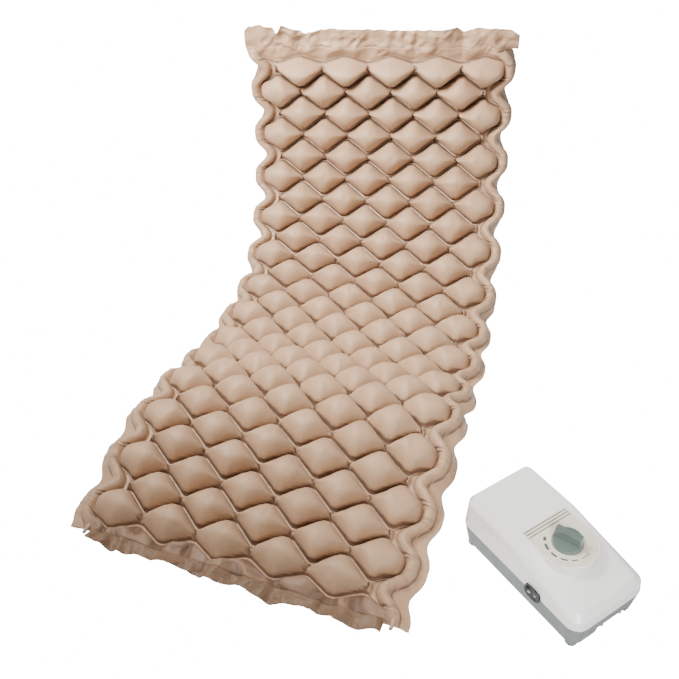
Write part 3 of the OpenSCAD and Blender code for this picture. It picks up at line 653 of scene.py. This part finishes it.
def foot_wave(u, v, s):
    e = np.minimum(u, 9 - u)
    n = crumple(u, v)*sst((e + 1.0)/0.4) + 7.0*s*np.sin(u*2.3 + 2.2*s) + 2.5*s*np.sin(u*4.4 + 3*s) - 2.2*sst((26.02 - v)/0.08)
    return u, n

ff, area_f = flap("foot_flap_sheet", ("leg_section", "foot_flap", S1(4.5, 25.95), S1(4.5, 26.2)), FC, 25.93, foot_outline, foot_wave, nrow=16)
# the foot flap gets the darker film copy, which is painted shade
put(ff, M["foot_film"])
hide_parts("foot_flap")

# ------------------------------------------------------------------ pump
PT = math.radians(48.0)
PLACE = Matrix.Translation((0.4675, -0.5425, 0)) @ Matrix.Rotation(PT, 4, "Z") @ Matrix.Scale(1.25, 4)

def placed(o):
    o.data.transform(PLACE)
    return o

def bm_obj(name, bm, mat, body="pump_case", smooth=True):
    me = bpy.data.meshes.new(name)
    bmesh.ops.recalc_face_normals(bm, faces=bm.faces)
    bm.to_mesh(me); bm.free()
    if smooth:
        me.polygons.foreach_set("use_smooth", [True]*len(me.polygons))
    o = bpy.data.objects.new(name, me)
    bpy.context.collection.objects.link(o)
    placed(o)
    put(o, mat)
    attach(o, body)
    return o

slot_of = {s["node"]: s["material_slot"] for s in frame["record"]["subparts"]}
for n, o in NODES.items():
    s = slot_of.get(n)
    if s in M:
        o.data.materials.clear()
        o.data.materials.append(M[s])

def soften(node, width, seg=3, angle=30):
    o = NODES[node]
    b = o.modifiers.new("edge", "BEVEL")
    b.width = width; b.segments = seg; b.limit_method = "ANGLE"; b.angle_limit = math.radians(angle)
    b.harden_normals = False
    w = o.modifiers.new("normals", "WEIGHTED_NORMAL")
    w.keep_sharp = True

def plate(name, pts, z0, z1, mat, body="pump_case"):
    """Thin printed patch in pump coordinates, mm."""
    bm = bmesh.new()
    a = [bm.verts.new((x/1000, y/1000, z0/1000)) for x, y in pts]
    b = [bm.verts.new((x/1000, y/1000, z1/1000)) for x, y in pts]
    bm.faces.new(a[::-1]); bm.faces.new(b)
    for i in range(len(pts)):
        j = (i + 1) % len(pts)
        bm.faces.new((a[i], a[j], b[j], b[i]))
    return bm_obj(name, bm, mat, body, smooth=False)

# printed scale round the knob: short arcs that grow thicker clockwise
def arc(r0, r1, a0, a1, n=8, cy=-33.0):
    an = np.radians(np.linspace(a0, a1, n))
    return [(r0*math.cos(t), cy + r0*math.sin(t)) for t in an] + [(r1*math.cos(t), cy + r1*math.sin(t)) for t in an[::-1]]
for i, (a0, a1, w) in enumerate(((-82, -98, 1.2), (-108, -124, 2.0), (-134, -152, 2.8), (-162, -180, 3.6), (-190, -210, 4.4), (-219, -232, 5.0))):
    plate("scale_mark_%d" % (i + 1), arc(37.0 - w/2, 37.0 + w/2, a0, a1), 119.15, 119.35, M["print_grey"])
plate("scale_low_mark", [(6, -71.2), (13, -71.2), (13, -70.0), (10.1, -70.0), (10.1, -66), (8.9, -66), (8.9, -70), (6, -70)], 119.15, 119.35, M["print_grey"])
for i, y in enumerate((7.5, 13.5, 19.5)):
    plate("dial_stripe_%d" % (i + 1), [(-47, y), (47, y), (47, y + 1.7), (-47, y + 1.7)], 119.15, 119.32, M["print_grey"])

# O and dash on the rocker
def rocker_pt(Y, Zz, lift):
    X = -9 + 1.6*(1 - abs(Y)/12) - lift
    ca, sa = math.cos(math.radians(8)), math.sin(math.radians(8))
    return (-75 + ca*X - sa*Y, -45 + sa*X + ca*Y, 58 + Zz)
def rocker_mark(name, rings):
    bm = bmesh.new()
    lo = [[bm.verts.new([q/1000 for q in rocker_pt(Y, Zz, -0.2)]) for Y, Zz in r] for r in rings]
    hi = [[bm.verts.new([q/1000 for q in rocker_pt(Y, Zz, 0.18)]) for Y, Zz in r] for r in rings]
    n = len(rings[0])
    if len(rings) == 1:
        bm.faces.new(lo[0]); bm.faces.new(hi[0][::-1])
    for i in range(n):
        j = (i + 1) % n
        for a, b in zip(lo, hi):
            bm.faces.new((a[i], a[j], b[j], b[i]))
        if len(rings) == 2:
            bm.faces.new((lo[0][i], lo[0][j], lo[1][j], lo[1][i]))
            bm.faces.new((hi[0][i], hi[1][i], hi[1][j], hi[0][j]))
    return bm_obj(name, bm, M["print_white"], "switch_rocker", smooth=False)
rocker_mark("rocker_dash", [[(-8.4, -0.6), (-4.0, -0.6), (-4.0, 0.6), (-8.4, 0.6)]])
rocker_mark("rocker_ring", [[(6.2 + rr*math.cos(t), rr*math.sin(t)) for t in np.linspace(0, 2*math.pi, 25)[:-1]] for rr in (1.6, 2.6)])

for nd_, wd_ in (("pump_top_cover", 0.0016), ("pump_base_shell", 0.0012), ("pressure_knob", 0.0012), ("switch_bezel", 0.0006), ("dial_plate", 0.0004),
                 ("rubber_feet", 0.0008), ("mains_inlet", 0.0005)):
    soften(nd_, wd_)

# ------------------------------------------------------------------ camera, floor, light
cam_d = bpy.data.cameras.new("camera")
cam = bpy.data.objects.new("camera", cam_d)
bpy.context.collection.objects.link(cam)
R = np.array([[.965, .2598, -.0356], [.1351, -.6089, -.7817], [-.2248, .7495, -.6227]])
cam.matrix_world = Matrix(((R[0][0], -R[1][0], -R[2][0], 0.3815), (R[0][1], -R[1][1], -R[2][1], -1.7537),
                           (R[0][2], -R[1][2], -R[2][2], 1.5864), (0, 0, 0, 1)))
cam_d.sensor_width = 36.0
cam_d.lens = 850*36/679
cam_d.clip_end = 60
bpy.context.scene.camera = cam

fm = Mat("floor_paint", Roughness=0.6)
fv = fm.coord()
fm.l(fm.ramp(fm.noise(fv, 2.0, 2.0).outputs["Fac"], [(0.3, (0.90, 0.90, 0.90, 1)), (0.7, (0.93, 0.93, 0.93, 1))]), fm.b.inputs["Base Color"])
lp = fm.n("ShaderNodeLightPath")
em = fm.n("ShaderNodeEmission")
em.inputs["Color"].default_value = (1, 1, 1, 1)
em.inputs["Strength"].default_value = 34.0
ms = fm.n("ShaderNodeMixShader")
mu = fm.n("ShaderNodeMath"); mu.operation = "MULTIPLY"; mu.inputs[1].default_value = 0.55
fm.l(lp.outputs["Is Camera Ray"], mu.inputs[0])
fm.l(mu.outputs[0], ms.inputs[0])
fm.l(fm.b.outputs[0], ms.inputs[1]); fm.l(em.outputs[0], ms.inputs[2])
fm.l(ms.outputs[0], fm.t.nodes["Material Output"].inputs["Surface"])
floor = mesh_obj("floor", [(-14, -14, 0), (14, -14, 0), (14, 14, 0), (-14, 14, 0)], [(0, 1, 2, 3)], smooth=False)
put(floor, fm.m)

w = bpy.data.worlds.new("studio")
bpy.context.scene.world = w
w.use_nodes = True
w.node_tree.nodes["Background"].inputs["Color"].default_value = (1.0, 0.995, 0.985, 1)
w.node_tree.nodes["Background"].inputs["Strength"].default_value = 0.40

def area(name, loc, target, size, power, col=(1, 1, 1)):
    d = bpy.data.lights.new(name, "AREA")
    d.shape = "RECTANGLE"; d.size = size[0]; d.size_y = size[1]; d.energy = power; d.color = col
    o = bpy.data.objects.new(name, d)
    bpy.context.collection.objects.link(o)
    o.location = loc
    o.rotation_euler = (Vector(target) - Vector(loc)).to_track_quat("-Z", "Y").to_euler()
    return o
area("key", (-1.5, 1.3, 3.2), (0, 0.0, 0.1), (1.3, 1.3), 51, (1.0, 0.985, 0.96))
hd = area("head_light", (-0.9, -0.5, 1.9), (-0.05, 0.75, 0.45), (0.8, 0.8), 44, (1.0, 0.985, 0.96))
hd.data.spread = math.radians(105)
area("fill", (2.4, -2.2, 2.2), (0, -0.2, 0.2), (2.4, 2.4), 6, (0.97, 0.98, 1.0))
pl = area("pump_light", (0.75, -1.55, 0.95), (0.47, -0.56, 0.08), (0.35, 0.5), 1.9, (1.0, 0.99, 0.975))
pl.data.spread = math.radians(50)
